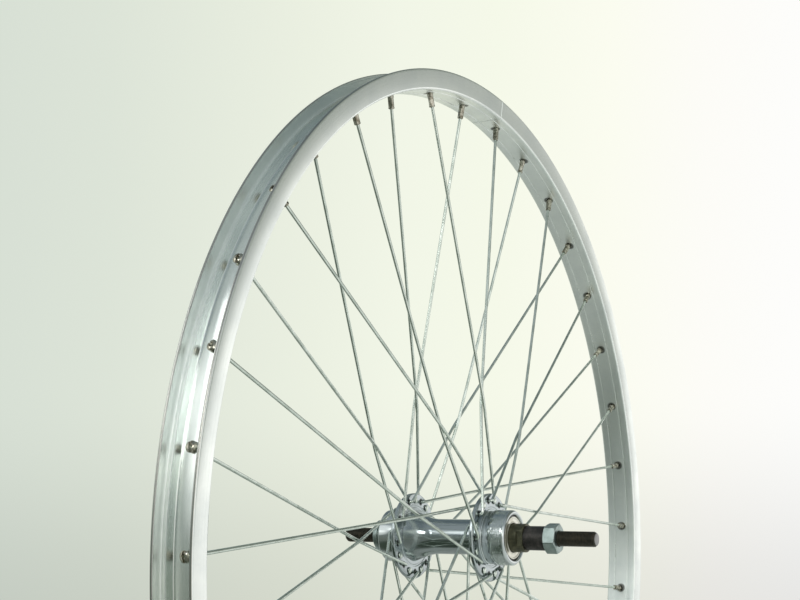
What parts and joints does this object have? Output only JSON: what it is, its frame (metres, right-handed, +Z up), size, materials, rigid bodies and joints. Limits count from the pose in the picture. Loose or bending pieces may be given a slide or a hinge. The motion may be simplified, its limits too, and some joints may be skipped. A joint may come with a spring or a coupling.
{
  "type": "bicycle rear wheel",
  "caption": "Bare spoked bicycle rear wheel: single-wall alloy rim without a tyre, tangent wire spokes with nipples, flanged steel hub with freewheel thread on a solid axle.",
  "frame": {"origin": "centre of the wheel, on the axle's axis and in the rim's middle plane, which is also the middle of the axle", "axes": "+Y along the axle, away from the drive side; +Z up and +X forwards with the wheel standing as on a bicycle; the rim's joint is 7 degrees from +Z and the valve hole 5 degrees from -Z, both towards +X"},
  "size_m": [0.603, 0.18, 0.603],
  "materials": {
    "rim_alloy": "bright satin extrusion",
    "hub_chrome": "chrome plate",
    "bright_steel": "bright ground steel",
    "black_steel": "black oxide",
    "cone_steel": "hardened, olive brown",
    "zinc_steel": "zinc plate",
    "spoke_zinc": "zinc plated wire",
    "nipple_nickel": "nickel plated"
  },
  "bodies": {
    "axle_assembly": {"axle": "black_steel", "drive_cone": "cone_steel", "drive_spacer": "black_steel", "drive_locknut": "zinc_steel", "nondrive_cone": "cone_steel", "nondrive_lockwasher": "zinc_steel", "nondrive_locknut": "zinc_steel"},
    "wheel": {"rim": "rim_alloy", "rim_joint_pins": "bright_steel", "hub_barrel": "hub_chrome", "drive_flange": "hub_chrome", "nondrive_flange": "hub_chrome", "freewheel_boss": "hub_chrome", "nondrive_end_cup": "hub_chrome", "drive_race": "bright_steel", "nondrive_race": "bright_steel", "drive_dust_cap": "bright_steel", "nondrive_dust_cap": "bright_steel", "drive_nipples": "nipple_nickel", "nondrive_nipples": "nipple_nickel", "spoke_drive_01": "spoke_zinc", "spoke_drive_02": "spoke_zinc", "spoke_drive_03": "spoke_zinc", "spoke_drive_04": "spoke_zinc", "spoke_drive_05": "spoke_zinc", "spoke_drive_06": "spoke_zinc", "spoke_drive_07": "spoke_zinc", "spoke_drive_08": "spoke_zinc", "spoke_drive_09": "spoke_zinc", "spoke_drive_10": "spoke_zinc", "spoke_drive_11": "spoke_zinc", "spoke_drive_12": "spoke_zinc", "spoke_drive_13": "spoke_zinc", "spoke_drive_14": "spoke_zinc", "spoke_drive_15": "spoke_zinc", "spoke_drive_16": "spoke_zinc", "spoke_drive_17": "spoke_zinc", "spoke_drive_18": "spoke_zinc", "spoke_nondrive_01": "spoke_zinc", "spoke_nondrive_02": "spoke_zinc", "spoke_nondrive_03": "spoke_zinc", "spoke_nondrive_04": "spoke_zinc", "spoke_nondrive_05": "spoke_zinc", "spoke_nondrive_06": "spoke_zinc", "spoke_nondrive_07": "spoke_zinc", "spoke_nondrive_08": "spoke_zinc", "spoke_nondrive_09": "spoke_zinc", "spoke_nondrive_10": "spoke_zinc", "spoke_nondrive_11": "spoke_zinc", "spoke_nondrive_12": "spoke_zinc", "spoke_nondrive_13": "spoke_zinc", "spoke_nondrive_14": "spoke_zinc", "spoke_nondrive_15": "spoke_zinc", "spoke_nondrive_16": "spoke_zinc", "spoke_nondrive_17": "spoke_zinc", "spoke_nondrive_18": "spoke_zinc"},
    "drive_cage": {"drive_balls": "bright_steel", "drive_ball_retainer": "bright_steel"},
    "nondrive_cage": {"nondrive_balls": "bright_steel", "nondrive_ball_retainer": "bright_steel"}
  },
  "joints": [
    {"name": "wheel_spin", "type": "hinge", "parent": "axle_assembly", "child": "wheel", "pos_m": [0, 0, 0], "axis": [0, 1, 0], "continuous": true},
    {"name": "drive_cage_spin", "type": "hinge", "parent": "axle_assembly", "child": "drive_cage", "pos_m": [0, 0, 0], "axis": [0, 1, 0], "continuous": true},
    {"name": "nondrive_cage_spin", "type": "hinge", "parent": "axle_assembly", "child": "nondrive_cage", "pos_m": [0, 0, 0], "axis": [0, 1, 0], "continuous": true}
  ],
  "couplings": [
    {"joint": "drive_cage_spin", "follows": "wheel_spin", "ratio": 0.6123},
    {"joint": "nondrive_cage_spin", "follows": "wheel_spin", "ratio": 0.6123}
  ]
}
